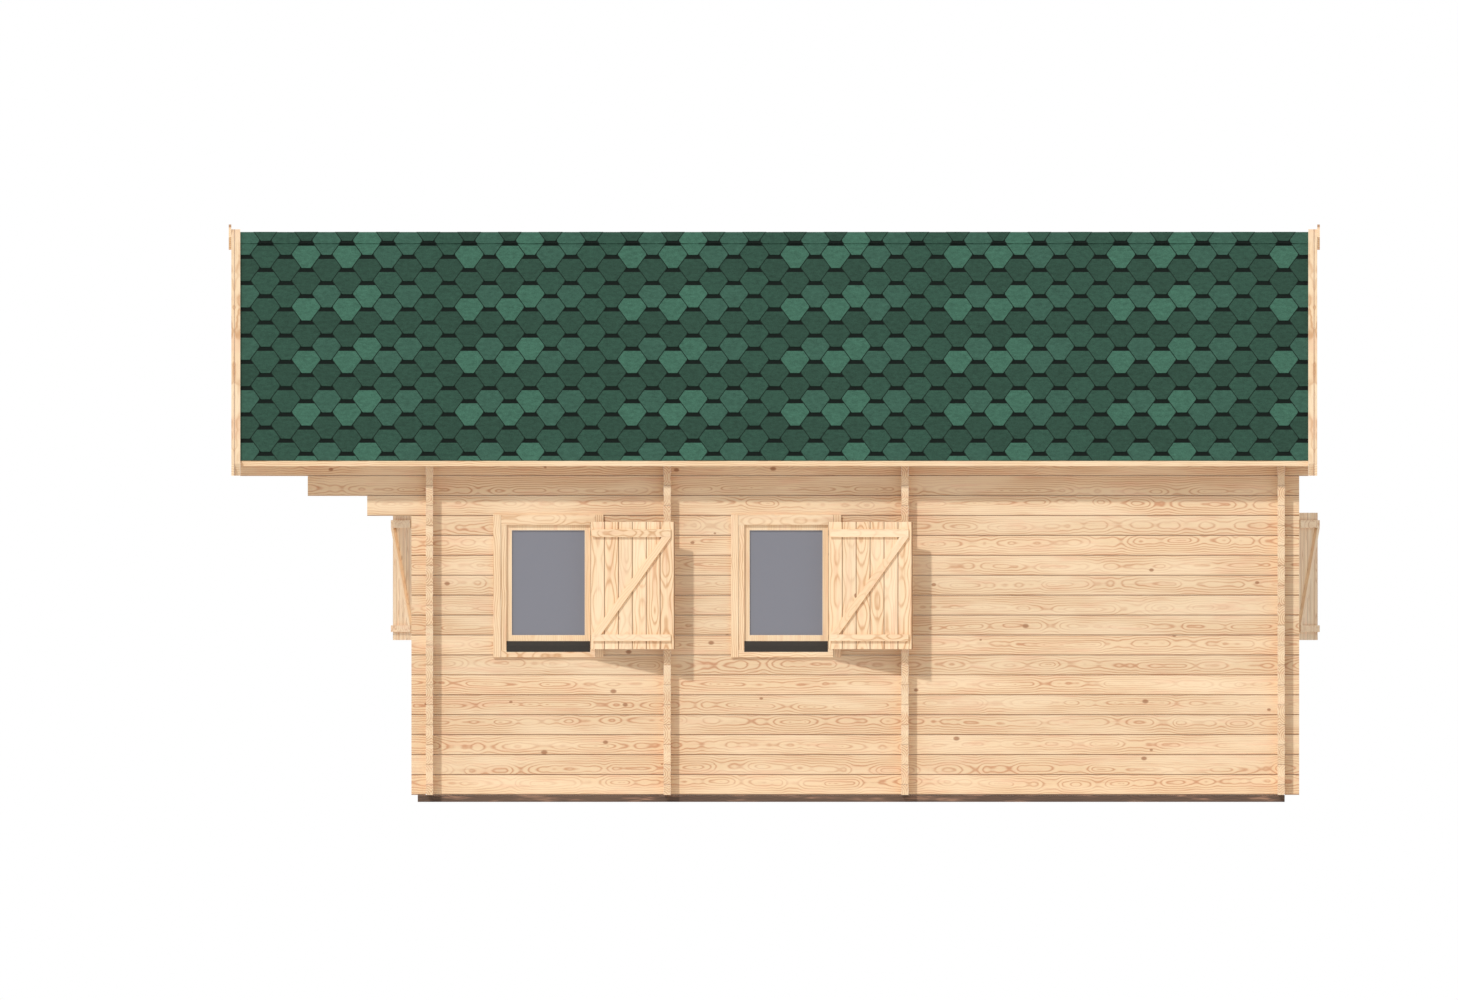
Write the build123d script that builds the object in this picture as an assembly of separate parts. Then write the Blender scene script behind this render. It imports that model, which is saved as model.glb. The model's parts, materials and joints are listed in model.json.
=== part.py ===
"""A garden house of stacked planed logs, with a gabled roof that reaches far out at the front.

X runs along the house with the front at -X, Z is up, and the right-hand long wall is at -Y.
The origin is at the middle of the house's footprint, on the ground.
"""
from build123d import *
from math import cos, radians, sin, tan
import os

os.makedirs("parts", exist_ok=True)

# Logs
LOG_THICKNESS = 40
COURSE = 114
LOG_CHAMFER = 6
SEAT_GAP = 0.3
LOG_TAIL = 83

# House
HOUSE_WIDTH = 4000
ROOM_LENGTHS = (1320, 1320, 2112)
WALL_COURSES = 18

# Bracket logs under the front of the roof, by courses down from the top one
FRONT_BRACKETS = {3: 336, 2: 676}
VERGE_COURSES = 2

# Foundation and floor
BEAM_WIDTH = 60
BEAM_HEIGHT = 40
BEAM_COUNT = 7
BEAM_FRONT_REACH = 47
FLOOR_THICKNESS = 20
FLOOR_GAP = 5

# Roof
ROOF_PITCH = 30.5
EAVES_REACH = 209
TOP_LOG_BEVEL = 41
SHINGLE_THICKNESS = 6
ROOF_BOARD_THICKNESS = 18
FASCIA_THICKNESS = 18
FASCIA_HEIGHT = 35
RIDGE_CAP_THICKNESS = 4
RIDGE_CAP_WIDTH = 130
PURLIN_WIDTH = 44
PURLIN_HEIGHT = 140
PURLIN_PLACES = (660, 1320)

# Verges
SHINGLE_FRONT_REACH = 1062
SHINGLE_REAR_REACH = 135
VERGE_BOARD_THICKNESS = 33
VERGE_BOARD_DEPTH = 80
VERGE_UPSTAND = 16
VERGE_END_REACH = 276
BARGEBOARD_THICKNESS = 18
BARGEBOARD_DEPTH = 120
FINIAL_HEIGHT = 145
FINIAL_THICKNESS = 15
FINIAL_DROP = 45

# Windows
WINDOW_WIDTH = 606
WINDOW_COURSES = 7
WINDOW_FIRST_COURSE = 7
CASING_THICKNESS = 18
CASING_LAP = 12
CASING_TOP_LAP = 7
CASING_BOTTOM_LAP = 10
CASING_SIDE = 75.5
CASING_TOP = 58
CASING_BOTTOM = 30
FRAME_THICKNESS = 45
SASH_DEPTH = 28
SASH_STILE_SHOWN = 31
SASH_BOTTOM_RAIL_SHOWN = 34
SASH_CLEARANCE = 3
PANE_THICKNESS = 6
SILL_LIP = 36
SILL_HEIGHT = 62
SILL_SETBACK = 1
FRONT_WINDOW_Y = 800
REAR_WINDOW_Y = 0

# Shutters
SHUTTER_BOARDS = 6
SHUTTER_BOARD_WIDTH = 82
SHUTTER_BOARD_THICKNESS = 18
SHUTTER_HEIGHT = 728
SHUTTER_RISE = 16
END_SHUTTER_DROP = 5
SHUTTER_OPEN_ANGLE = 166.3
SHUTTER_CASING_GAP = 5
LEDGER_THICKNESS = 16
LEDGER_START = 13
LEDGER_END = 475
UPPER_LEDGER = (641, 686)
LOWER_LEDGER = (46, 84)
BRACE_WIDTH = 40

# Shutter hinges
HINGE_OUTSET = 8.2
KNUCKLE_OFFSET = 7
KNUCKLE_HEIGHT = 30
PIN_RADIUS = 3
PIN_CLEARANCE = 0.3
KNUCKLE_SIDES = 8
STRAP_LENGTH = 220
STRAP_HEIGHT = 26
STRAP_TIP = 10
STRAP_THICKNESS = 3
PINTLE_SETOFF = 8
PINTLE_PLATE_WIDTH = 30
PINTLE_PLATE_HEIGHT = 60
PINTLE_BAR = 6

# Doors
DOOR_WIDTH = 800
DOOR_COURSES = 16
FRONT_DOOR_Y = -900
DOORWAY_WIDTH = 760
DOOR_FRAME_THICKNESS = 35
DOOR_CASING_WIDTH = 75
DOOR_LEAF_THICKNESS = 40
DOOR_LEAF_CLEARANCE = 4
DOOR_STILE = 95
DOOR_MIDDLE_RAIL_HEIGHT = 800
DOOR_PANEL_THICKNESS = 16
HANDLE_HEIGHT = 1050
HANDLE_LENGTH = 110
HANDLE_RADIUS = 8
HANDLE_REACH = 45
ESCUTCHEON_WIDTH = 36
ESCUTCHEON_HEIGHT = 170
ESCUTCHEON_THICKNESS = 4

# Places that follow from the sizes
HALF_WIDTH = HOUSE_WIDTH / 2
HALF_LOG = LOG_THICKNESS / 2
HOUSE_LENGTH = sum(ROOM_LENGTHS) + (len(ROOM_LENGTHS) + 1) * LOG_THICKNESS
VERGE_THICKNESS = VERGE_BOARD_THICKNESS + BARGEBOARD_THICKNESS
FRONT_REACH = SHINGLE_FRONT_REACH + VERGE_THICKNESS + FINIAL_THICKNESS
REAR_REACH = SHINGLE_REAR_REACH + VERGE_THICKNESS + FINIAL_THICKNESS
FRONT_X = FRONT_REACH - (FRONT_REACH + HOUSE_LENGTH + REAR_REACH) / 2
REAR_X = FRONT_X + HOUSE_LENGTH
ROOF_FRONT_X = FRONT_X - SHINGLE_FRONT_REACH
ROOF_REAR_X = REAR_X + SHINGLE_REAR_REACH
EAVES_Y = HALF_WIDTH + EAVES_REACH
ROOF_DEPTH = SHINGLE_THICKNESS + ROOF_BOARD_THICKNESS
SLOPE = tan(radians(ROOF_PITCH))
LEAN = cos(radians(ROOF_PITCH))
WALL_BASE = BEAM_HEIGHT
CROSS_BASE = WALL_BASE + COURSE / 2
WALL_TOP = WALL_BASE + WALL_COURSES * COURSE
EAVES_HEIGHT = WALL_TOP - TOP_LOG_BEVEL + ROOF_DEPTH / LEAN - EAVES_REACH * SLOPE

CROSS_WALL_X = [FRONT_X + HALF_LOG]
for room_length in ROOM_LENGTHS:
    CROSS_WALL_X.append(CROSS_WALL_X[-1] + room_length + LOG_THICKNESS)
SIDE_WALL_Y = (HALF_LOG - HALF_WIDTH, HALF_WIDTH - HALF_LOG)

WINDOW_HEIGHT = WINDOW_COURSES * COURSE
SIDE_WINDOW_Z = WALL_BASE + WINDOW_FIRST_COURSE * COURSE
END_WINDOW_Z = CROSS_BASE + WINDOW_FIRST_COURSE * COURSE
SIDE_WINDOW_X = [
    (CROSS_WALL_X[0] + CROSS_WALL_X[1]) / 2,
    (CROSS_WALL_X[1] + CROSS_WALL_X[2]) / 2,
]
CASING_WIDTH = WINDOW_WIDTH + 2 * CASING_LAP
OPENING_WIDTH = CASING_WIDTH - 2 * CASING_SIDE
OPENING_BOTTOM = CASING_BOTTOM - CASING_BOTTOM_LAP
OPENING_TOP = WINDOW_HEIGHT + CASING_TOP_LAP - CASING_TOP
HINGE_U = OPENING_WIDTH / 2 + HINGE_OUTSET
HINGE_OFF_WALL = CASING_THICKNESS + SHUTTER_CASING_GAP + SHUTTER_BOARD_THICKNESS + KNUCKLE_OFFSET
SHUTTER_BOTTOM = OPENING_BOTTOM + SHUTTER_RISE
REST_TURN = SHUTTER_OPEN_ANGLE - 180

CORNER = (Align.MIN, Align.MIN, Align.MIN)


# Basic forms

def block(x0, x1, y0, y1, z0, z1):
    """A box between two corners."""
    return Pos(x0, y0, z0) * Box(x1 - x0, y1 - y0, z1 - z0, align=CORNER)


def four_bars(width, height, depth, thickness):
    """Two posts, and a head and a foot between them, centred on X=0 and facing Y."""
    half = width / 2
    inner = half - thickness
    between = inner - SEAT_GAP
    return [
        block(-half, -inner, 0, depth, SEAT_GAP, height),
        block(inner, half, 0, depth, SEAT_GAP, height),
        block(-between, between, 0, depth, height - thickness, height),
        block(-between, between, 0, depth, SEAT_GAP, thickness),
    ]


def prism_along_x(outline, x0, x1):
    """A solid with this outline in Y and Z, from one X to another."""
    face = Plane.YZ.offset(x0) * Polygon(*outline, align=None)
    return extrude(face, amount=x1 - x0, dir=(1, 0, 0))


def plate_facing_y(outline, y0, y1):
    """A solid with this outline in X and Z, from one Y to another."""
    face = Plane.XZ.offset(-y0) * Polygon(*outline, align=None)
    return extrude(face, amount=y1 - y0, dir=(0, 1, 0))


def ring(width, z0, z1, y0, y1, side, bottom, top):
    """A rectangular frame centred on X=0, facing Y."""
    outer = block(-width / 2, width / 2, y0, y1, z0, z1)
    inner = block(side - width / 2, width / 2 - side, y0, y1, z0 + bottom, z1 - top)
    return outer - inner


def upright_bar(radius, z0, z1):
    """A many-sided bar on the Z axis, its radius measured to the flats."""
    outline = RegularPolygon(radius, KNUCKLE_SIDES, major_radius=False)
    return extrude(Pos(0, 0, z0) * outline, amount=z1 - z0)


def save(node, *pieces):
    """Write one node, each of its solids kept apart."""
    solids = [solid for piece in pieces for solid in piece.solids()]
    export_step(Compound(solids), f"parts/{node}.step")


def both_sides(piece):
    """The piece on the right of the house, and its mirror image on the left."""
    return [piece, mirror(piece, about=Plane.XZ)]


# Log walls

def notched_log(start, end, bottom, top, crossings, weather_side):
    """A log along X, notched from below over each wall it crosses.

    Its lower edge is chamfered on the weather side, -1 for -Y and 1 for +Y, and left square where
    that is 0.
    """
    low = bottom + SEAT_GAP
    section = [(HALF_LOG, top), (-HALF_LOG, top), (-HALF_LOG, low), (HALF_LOG, low)]
    chamfer = [(-HALF_LOG, low + LOG_CHAMFER), (LOG_CHAMFER - HALF_LOG, low)]
    if weather_side < 0:
        section[2:3] = chamfer
    if weather_side > 0:
        section[3:] = [(-y, z) for y, z in reversed(chamfer)]
    body = prism_along_x(section, start, end)
    reach = HALF_LOG + SEAT_GAP
    notch_top = bottom + COURSE / 2 + SEAT_GAP
    for place in crossings:
        if start < place < end:
            body -= block(place - reach, place + reach, -HALF_LOG, HALF_LOG, bottom, notch_top)
    return body


def course_of_logs(start, end, bottom, top, crossings, openings, weather_side):
    """One course of a wall along X, parted by the openings at its height.

    Each opening is its middle, width, bottom and top.
    """
    logs = []
    edge = start
    for middle, width, opening_bottom, opening_top in openings:
        if bottom < opening_top and top > opening_bottom:
            stop = middle - width / 2
            logs.append(notched_log(edge, stop, bottom, top, crossings, weather_side))
            edge = middle + width / 2
    logs.append(notched_log(edge, end, bottom, top, crossings, weather_side))
    return logs


def roof_z(y, depth=0):
    """Height of the roof at this Y, this deep below the shingles' top face."""
    return EAVES_HEIGHT + (EAVES_Y - abs(y)) * SLOPE - depth / LEAN


def gable_outline(half_width, depth, bottom):
    """Everything below the roof, in Y and Z, out to this half width."""
    return [
        (-half_width, bottom),
        (half_width, bottom),
        (half_width, roof_z(half_width, depth)),
        (0, roof_z(0, depth)),
        (-half_width, roof_z(half_width, depth)),
    ]


def under_roof():
    """The space below the roof boards."""
    outline = gable_outline(EAVES_Y, ROOF_DEPTH + SEAT_GAP, 0)
    return prism_along_x(outline, ROOF_FRONT_X, ROOF_REAR_X)


def side_wall():
    """The right-hand long wall, in place, with its bracket logs."""
    openings = [
        (x, WINDOW_WIDTH, SIDE_WINDOW_Z, SIDE_WINDOW_Z + WINDOW_HEIGHT) for x in SIDE_WINDOW_X
    ]
    roof_space = under_roof()
    logs = []
    for course in range(WALL_COURSES):
        from_top = WALL_COURSES - 1 - course
        start = FRONT_X - FRONT_BRACKETS.get(from_top, LOG_TAIL)
        end = REAR_X + LOG_TAIL
        if from_top < VERGE_COURSES:
            start = ROOF_FRONT_X + SEAT_GAP
            end = ROOF_REAR_X - SEAT_GAP
        bottom = WALL_BASE + course * COURSE
        for log in course_of_logs(start, end, bottom, bottom + COURSE, CROSS_WALL_X, openings, -1):
            placed = Pos(0, SIDE_WALL_Y[0], 0) * log
            if from_top == 0:
                placed = placed & roof_space
            logs.append(placed)
    return logs


def purlin_outlines():
    """Each purlin's middle Y and its section, its top bevelled to the roof boards."""
    depth = ROOF_DEPTH + SEAT_GAP
    half = PURLIN_WIDTH / 2
    ridge_bottom = roof_z(0, depth) - PURLIN_HEIGHT
    outlines = {0: gable_outline(half, depth, ridge_bottom)}
    for place in PURLIN_PLACES:
        bottom = roof_z(place, depth) - PURLIN_HEIGHT
        outlines[-place] = [
            (-place - half, bottom),
            (-place + half, bottom),
            (-place + half, roof_z(place - half, depth)),
            (-place - half, roof_z(place + half, depth)),
        ]
    return outlines


def purlin_slots(wall_x):
    """The holes that let the purlins through a cross wall."""
    half = PURLIN_WIDTH / 2 + SEAT_GAP
    x0 = wall_x - LOG_THICKNESS
    x1 = wall_x + LOG_THICKNESS
    slots = []
    for place in (0, *PURLIN_PLACES):
        bottom = roof_z(place, ROOF_DEPTH + SEAT_GAP) - PURLIN_HEIGHT - SEAT_GAP
        top = bottom + 2 * PURLIN_HEIGHT
        for middle in {place, -place}:
            slots.append(block(x0, x1, middle - half, middle + half, bottom, top))
    return slots


def cross_wall(wall_x, openings, weather_side=0):
    """A wall across the house, up to the roof, its courses half a course above the long walls'."""
    roof_space = under_roof()
    slots = purlin_slots(wall_x)
    slot_bottom = min(slot.bounding_box().min.Z for slot in slots)
    turn = Pos(wall_x, 0, 0) * Rot(0, 0, 90)
    tip = HALF_WIDTH + LOG_TAIL
    logs = [turn * notched_log(-tip, tip, WALL_BASE, CROSS_BASE, [], weather_side)]
    bottom = CROSS_BASE
    while bottom < roof_z(0, ROOF_DEPTH) - COURSE / 4:
        top = bottom + COURSE
        if top > WALL_TOP:
            tip = HALF_WIDTH - LOG_THICKNESS - SEAT_GAP
        for log in course_of_logs(-tip, tip, bottom, top, SIDE_WALL_Y, openings, weather_side):
            placed = turn * log
            if top > roof_z(tip, ROOF_DEPTH):
                placed = placed & roof_space
            if top > slot_bottom:
                placed = placed - slots
            logs.append(placed)
        bottom = top
    return logs


# Foundation, floor and roof

def foundation_beams():
    """Bearers along the house, the outer two flush with the long walls."""
    first = BEAM_WIDTH / 2 - HALF_WIDTH
    pitch = (HOUSE_WIDTH - BEAM_WIDTH) / (BEAM_COUNT - 1)
    x0 = FRONT_X - BEAM_FRONT_REACH
    beams = []
    for number in range(BEAM_COUNT):
        middle = first + number * pitch
        y0 = middle - BEAM_WIDTH / 2
        beams.append(block(x0, REAR_X, y0, y0 + BEAM_WIDTH, 0, BEAM_HEIGHT))
    return beams


def floors():
    """A floor in each room, between the walls' first logs."""
    half = HALF_WIDTH - LOG_THICKNESS - FLOOR_GAP
    low = BEAM_HEIGHT + SEAT_GAP
    pieces = []
    for front, rear in zip(CROSS_WALL_X, CROSS_WALL_X[1:]):
        x0 = front + HALF_LOG + FLOOR_GAP
        x1 = rear - HALF_LOG - FLOOR_GAP
        pieces.append(block(x0, x1, -half, half, low, BEAM_HEIGHT + FLOOR_THICKNESS))
    return pieces


def roof_layer(outer_y, upper, lower):
    """One layer of the right-hand slope, between two depths below the shingles' top face."""
    outline = [
        (-outer_y, roof_z(outer_y, upper)),
        (-SEAT_GAP / 2, roof_z(0, upper)),
        (-SEAT_GAP / 2, roof_z(0, lower)),
        (-outer_y, roof_z(outer_y, lower)),
    ]
    return prism_along_x(outline, ROOF_FRONT_X, ROOF_REAR_X)


def fascia():
    """The board along the right-hand eaves, its top bevelled to the shingles."""
    depth = SHINGLE_THICKNESS + SEAT_GAP
    inner_y = EAVES_Y - FASCIA_THICKNESS
    bottom = EAVES_HEIGHT - FASCIA_HEIGHT
    outline = [
        (-EAVES_Y, bottom),
        (-inner_y, bottom),
        (-inner_y, roof_z(inner_y, depth)),
        (-EAVES_Y, roof_z(EAVES_Y, depth)),
    ]
    return prism_along_x(outline, ROOF_FRONT_X + SEAT_GAP, ROOF_REAR_X - SEAT_GAP)


def ridge_cap():
    """A folded strip over the two top rows of shingles."""
    half = RIDGE_CAP_WIDTH * LEAN
    top = -RIDGE_CAP_THICKNESS - SEAT_GAP
    outline = [
        (-half, roof_z(half, -SEAT_GAP)),
        (0, roof_z(0, -SEAT_GAP)),
        (half, roof_z(half, -SEAT_GAP)),
        (half, roof_z(half, top)),
        (0, roof_z(0, top)),
        (-half, roof_z(half, top)),
    ]
    return prism_along_x(outline, ROOF_FRONT_X, ROOF_REAR_X)


def verge_board(x0, x1):
    """The right-hand inner verge board, its lower end cut square."""
    end_y = HALF_WIDTH + VERGE_END_REACH
    lower_y = end_y - VERGE_BOARD_DEPTH * sin(radians(ROOF_PITCH))
    depth = VERGE_BOARD_DEPTH - VERGE_UPSTAND
    outline = [
        (-end_y, roof_z(end_y, -VERGE_UPSTAND)),
        (-SEAT_GAP / 2, roof_z(0, -VERGE_UPSTAND)),
        (-SEAT_GAP / 2, roof_z(0, depth)),
        (-lower_y, roof_z(lower_y, depth)),
    ]
    return prism_along_x(outline, x0, x1)


def bargeboard(x0, x1):
    """The right-hand outer bargeboard: a plumb cut at its end, then a level one."""
    end_y = HALF_WIDTH + VERGE_END_REACH
    lower_y = end_y - VERGE_BOARD_DEPTH * sin(radians(ROOF_PITCH))
    level = roof_z(lower_y, VERGE_BOARD_DEPTH - VERGE_UPSTAND)
    depth = BARGEBOARD_DEPTH - VERGE_UPSTAND
    level_y = EAVES_Y - (level + depth / LEAN - EAVES_HEIGHT) / SLOPE
    outline = [
        (-end_y, roof_z(end_y, -VERGE_UPSTAND)),
        (-SEAT_GAP / 2, roof_z(0, -VERGE_UPSTAND)),
        (-SEAT_GAP / 2, roof_z(0, depth)),
        (-level_y, level),
        (-end_y, level),
    ]
    return prism_along_x(outline, x0, x1)


def finial(x0, x1):
    """A diamond over the joint of the bargeboards."""
    middle = roof_z(0, -VERGE_UPSTAND) - FINIAL_DROP
    half = FINIAL_HEIGHT / 2
    outline = [(-half, middle), (0, middle - half), (half, middle), (0, middle + half)]
    return prism_along_x(outline, x0, x1)


# Windows: each is made facing -Y, middle at X=0, wall face at Y=0, opening's bottom at Z=0

def window_frame():
    """The frame through the wall and the four casing boards on its face."""
    face = -CASING_THICKNESS
    back = -SEAT_GAP
    half = CASING_WIDTH / 2
    bottom = -CASING_BOTTOM_LAP
    top = WINDOW_HEIGHT + CASING_TOP_LAP
    inner = OPENING_WIDTH / 2
    upper = OPENING_TOP + SEAT_GAP
    lower = OPENING_BOTTOM - SEAT_GAP
    clear_width = WINDOW_WIDTH - 2 * SEAT_GAP
    return [
        *four_bars(clear_width, WINDOW_HEIGHT, LOG_THICKNESS, FRAME_THICKNESS),
        block(-half, half, face, back, upper, top),
        block(-half, half, face, back, bottom, lower),
        block(-half, -inner, face, back, OPENING_BOTTOM, OPENING_TOP),
        block(inner, half, face, back, OPENING_BOTTOM, OPENING_TOP),
    ]


def window_sash():
    """The glazed frame inside the window frame."""
    margin = FRAME_THICKNESS + SASH_CLEARANCE
    width = WINDOW_WIDTH - 2 * margin
    z0 = margin
    z1 = WINDOW_HEIGHT - margin
    side = (width - pane_width()) / 2
    bottom = pane_bottom() - z0
    top = z1 - pane_top()
    return ring(width, z0, z1, 0, SASH_DEPTH, side, bottom, top)


def pane_width():
    """Width of the glass that shows."""
    return OPENING_WIDTH - 2 * SASH_STILE_SHOWN


def pane_bottom():
    """Height of the glass's lower edge."""
    return OPENING_BOTTOM + SILL_HEIGHT + SASH_BOTTOM_RAIL_SHOWN


def pane_top():
    """Height of the glass's upper edge."""
    return OPENING_TOP - SASH_STILE_SHOWN


def window_pane():
    """The glass, in the middle of the sash's depth."""
    half = pane_width() / 2 - SEAT_GAP
    y0 = (SASH_DEPTH - PANE_THICKNESS) / 2
    z0 = pane_bottom() + SEAT_GAP
    return block(-half, half, y0, y0 + PANE_THICKNESS, z0, pane_top() - SEAT_GAP)


def window_sill():
    """The dark sill between the casings: an upright lip, then a slope up to the sash."""
    front = SILL_SETBACK - CASING_THICKNESS
    back = -SEAT_GAP
    z0 = OPENING_BOTTOM
    outline = [
        (front, z0),
        (back, z0),
        (back, z0 + SILL_HEIGHT),
        (front, z0 + SILL_LIP),
    ]
    half = OPENING_WIDTH / 2 - SEAT_GAP
    return prism_along_x(outline, -half, half)


# Shutters: made lying along +X from the hinge axis, their wall side towards +Y, lower edge at Z=0

def shutter_boards():
    """Upright boards side by side."""
    y1 = -KNUCKLE_OFFSET
    y0 = y1 - SHUTTER_BOARD_THICKNESS
    boards = []
    for number in range(SHUTTER_BOARDS):
        x0 = number * SHUTTER_BOARD_WIDTH
        x1 = x0 + SHUTTER_BOARD_WIDTH - SEAT_GAP
        boards.append(block(x0, x1, y0, y1, 0, SHUTTER_HEIGHT))
    return boards


def shutter_battens():
    """Two ledgers, and the brace up from the hinge side's foot to the free side's head."""
    y1 = -KNUCKLE_OFFSET - SHUTTER_BOARD_THICKNESS - SEAT_GAP
    y0 = y1 - LEDGER_THICKNESS
    ledgers = [
        block(LEDGER_START, LEDGER_END, y0, y1, *heights) for heights in (LOWER_LEDGER, UPPER_LEDGER)
    ]
    foot = LOWER_LEDGER[1] + SEAT_GAP
    head = UPPER_LEDGER[0] - SEAT_GAP
    run = LEDGER_END - LEDGER_START
    rise = head - foot
    length = (run ** 2 + rise ** 2) ** 0.5
    foot_width = BRACE_WIDTH * length / rise
    head_width = BRACE_WIDTH * length / run
    outline = [
        (LEDGER_START, foot),
        (LEDGER_START + foot_width, foot),
        (LEDGER_END, head - head_width),
        (LEDGER_END, head),
    ]
    return [*ledgers, plate_facing_y(outline, y0, y1)]


def hinge_heights():
    """Middle heights of the two hinges, behind the ledgers."""
    return [sum(heights) / 2 for heights in (LOWER_LEDGER, UPPER_LEDGER)]


def shutter_hinges():
    """A tapered strap behind each ledger, its end rolled round the pin."""
    y1 = -KNUCKLE_OFFSET + SEAT_GAP + STRAP_THICKNESS
    y0 = -KNUCKLE_OFFSET + SEAT_GAP
    radius = KNUCKLE_OFFSET - SEAT_GAP
    straps = []
    for height in hinge_heights():
        half = STRAP_HEIGHT / 2
        outline = [
            (0, height - half),
            (STRAP_LENGTH, height - STRAP_TIP / 2),
            (STRAP_LENGTH, height + STRAP_TIP / 2),
            (0, height + half),
        ]
        knuckle = (height - KNUCKLE_HEIGHT / 2, height + KNUCKLE_HEIGHT / 2)
        strap = plate_facing_y(outline, y0, y1)
        strap += upright_bar(radius, *knuckle)
        strap -= upright_bar(PIN_RADIUS + PIN_CLEARANCE, *knuckle)
        straps.append(strap)
    return straps


def shutter_pintles():
    """For each hinge a plate on the casing with a cranked bar that carries the pin."""
    casing_y = HINGE_OFF_WALL - CASING_THICKNESS - SEAT_GAP
    x0 = PINTLE_SETOFF
    half_bar = PINTLE_BAR / 2
    pintles = []
    for height in hinge_heights():
        bar_top = height - KNUCKLE_HEIGHT / 2 - SEAT_GAP
        bar_bottom = bar_top - PINTLE_BAR
        middle = (bar_top + bar_bottom) / 2
        z0 = middle - PINTLE_PLATE_HEIGHT / 2
        plate_y = casing_y - STRAP_THICKNESS
        pintle = block(x0, x0 + PINTLE_PLATE_WIDTH, plate_y, casing_y, z0, z0 + PINTLE_PLATE_HEIGHT)
        pintle += block(x0, x0 + PINTLE_BAR, -half_bar, plate_y, bar_bottom, bar_top)
        pintle += block(-half_bar, x0, -half_bar, half_bar, bar_bottom, bar_top)
        pin_height = KNUCKLE_HEIGHT + PINTLE_BAR
        pintle += Pos(0, 0, bar_top + pin_height / 2) * Cylinder(PIN_RADIUS, pin_height)
        pintles.append(pintle)
    return pintles


def on_hinge(piece, drop=0, turned=True):
    """Put a shutter piece on its window's hinge axis, swung open or, for the pintles, not."""
    turn = Rot(0, 0, REST_TURN if turned else 0)
    return Pos(HINGE_U, -HINGE_OFF_WALL, SHUTTER_BOTTOM - drop) * turn * piece


# Front door: made like the windows, its opening's bottom at Z=0

def door_frame():
    """The frame through the wall and the casing boards on its face."""
    height = DOOR_COURSES * COURSE
    half = DOOR_WIDTH / 2 + CASING_LAP
    inner = half - DOOR_CASING_WIDTH
    face = -CASING_THICKNESS
    lintel = height + CASING_LAP - DOOR_CASING_WIDTH
    return [
        *four_bars(DOOR_WIDTH - 2 * SEAT_GAP, height, LOG_THICKNESS, DOOR_FRAME_THICKNESS),
        block(-half, half, face, -SEAT_GAP, lintel + SEAT_GAP, height + CASING_LAP),
        block(-half, -inner, face, -SEAT_GAP, 0, lintel),
        block(inner, half, face, -SEAT_GAP, 0, lintel),
    ]


def door_leaf():
    """Stiles and rails, with a boarded panel below and glass above."""
    margin = DOOR_FRAME_THICKNESS + DOOR_LEAF_CLEARANCE
    width = DOOR_WIDTH - 2 * margin
    height = DOOR_COURSES * COURSE - 2 * margin
    leaf = ring(width, 0, height, 0, DOOR_LEAF_THICKNESS, DOOR_STILE, DOOR_STILE, DOOR_STILE)
    half = width / 2 - DOOR_STILE
    rail_top = DOOR_MIDDLE_RAIL_HEIGHT + DOOR_STILE
    leaf += block(-half, half, 0, DOOR_LEAF_THICKNESS, DOOR_MIDDLE_RAIL_HEIGHT, rail_top)
    panel_y = (DOOR_LEAF_THICKNESS - DOOR_PANEL_THICKNESS) / 2
    panel_back = panel_y + DOOR_PANEL_THICKNESS
    leaf += block(-half, half, panel_y, panel_back, DOOR_STILE, DOOR_MIDDLE_RAIL_HEIGHT)
    return Pos(0, 0, margin) * leaf


def door_pane():
    """The glass in the upper part of the door."""
    margin = DOOR_FRAME_THICKNESS + DOOR_LEAF_CLEARANCE
    half = DOOR_WIDTH / 2 - margin - DOOR_STILE - SEAT_GAP
    z0 = margin + DOOR_MIDDLE_RAIL_HEIGHT + DOOR_STILE + SEAT_GAP
    z1 = DOOR_COURSES * COURSE - margin - DOOR_STILE - SEAT_GAP
    y0 = (DOOR_LEAF_THICKNESS - PANE_THICKNESS) / 2
    return block(-half, half, y0, y0 + PANE_THICKNESS, z0, z1)


def door_handle():
    """A lever on a long plate, on the door's outer face."""
    margin = DOOR_FRAME_THICKNESS + DOOR_LEAF_CLEARANCE
    x = DOOR_WIDTH / 2 - margin - DOOR_STILE / 2
    half = ESCUTCHEON_WIDTH / 2
    y1 = -SEAT_GAP
    y0 = y1 - ESCUTCHEON_THICKNESS
    z0 = HANDLE_HEIGHT - ESCUTCHEON_HEIGHT / 2
    handle = block(x - half, x + half, y0, y1, z0, z0 + ESCUTCHEON_HEIGHT)
    stem = Pos(x, y0 - HANDLE_REACH / 2, HANDLE_HEIGHT) * Rot(90, 0, 0)
    handle += stem * Cylinder(HANDLE_RADIUS, HANDLE_REACH)
    lever = Pos(x - HANDLE_LENGTH / 2, y0 - HANDLE_REACH, HANDLE_HEIGHT) * Rot(0, 90, 0)
    handle += lever * Cylinder(HANDLE_RADIUS, HANDLE_LENGTH)
    return handle


# Places on the four walls

def on_right_wall(number):
    """Place of a window on the right-hand long wall."""
    return Pos(SIDE_WINDOW_X[number], -HALF_WIDTH, SIDE_WINDOW_Z)


FRONT_WINDOW = Pos(FRONT_X, FRONT_WINDOW_Y, END_WINDOW_Z) * Rot(0, 0, -90)
REAR_WINDOW = Pos(REAR_X, REAR_WINDOW_Y, END_WINDOW_Z) * Rot(0, 0, 90)
FRONT_DOOR = Pos(FRONT_X, FRONT_DOOR_Y, CROSS_BASE) * Rot(0, 0, -90)
RIGHT_WINDOWS = [on_right_wall(number) for number in range(len(SIDE_WINDOW_X))]


def at_places(places, pieces):
    """Each piece at each place."""
    return [place * piece for place in places for piece in pieces]


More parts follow.
